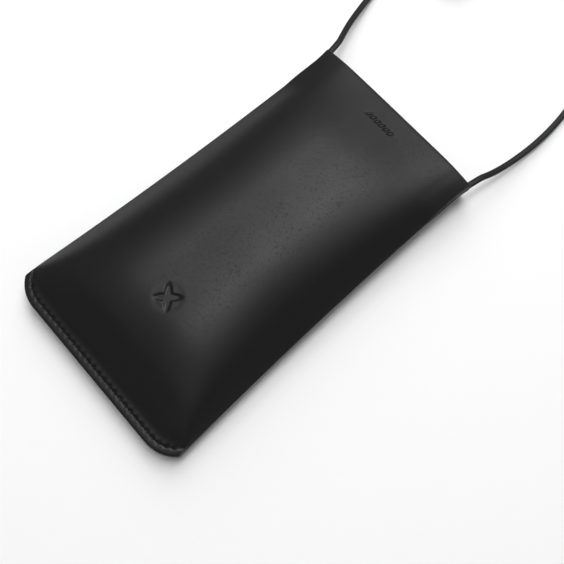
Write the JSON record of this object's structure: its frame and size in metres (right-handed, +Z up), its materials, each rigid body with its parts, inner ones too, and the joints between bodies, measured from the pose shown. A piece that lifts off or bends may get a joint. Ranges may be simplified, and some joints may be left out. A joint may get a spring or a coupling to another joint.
{
  "type": "leather phone sleeve with lace shoulder strap",
  "caption": "Open-topped sleeve of smooth black leather with a stitched bottom seam, turned side seams and a thin leather lace shoulder strap held in the mouth's corners.",
  "frame": {"origin": "on the table under the middle of the sleeve, measured without the strap", "axes": "+Y from the stitched bottom seam to the open mouth, +Z up from the back panel to the front panel, +X across to the right when looking at the front with the mouth away from the viewer"},
  "size_m": [0.1398, 0.3395, 0.0248],
  "materials": {
    "front_leather": "smooth black cowhide, waxed, semi-matt",
    "back_leather": "smooth black cowhide, waxed, semi-matt",
    "strap_leather": "black flat-cut leather lace",
    "seam_thread": "black waxed polyester thread",
    "tie": "black leather band"
  },
  "bodies": {
    "root": {"front_panel": "front_leather", "back_panel": "back_leather", "bottom_seam_thread": "seam_thread", "left_side_thread": "seam_thread", "right_side_thread": "seam_thread", "strap_left_run": "strap_leather", "strap_right_run": "strap_leather", "strap_coil": "strap_leather", "strap_tie": "tie"}
  },
  "joints": []
}
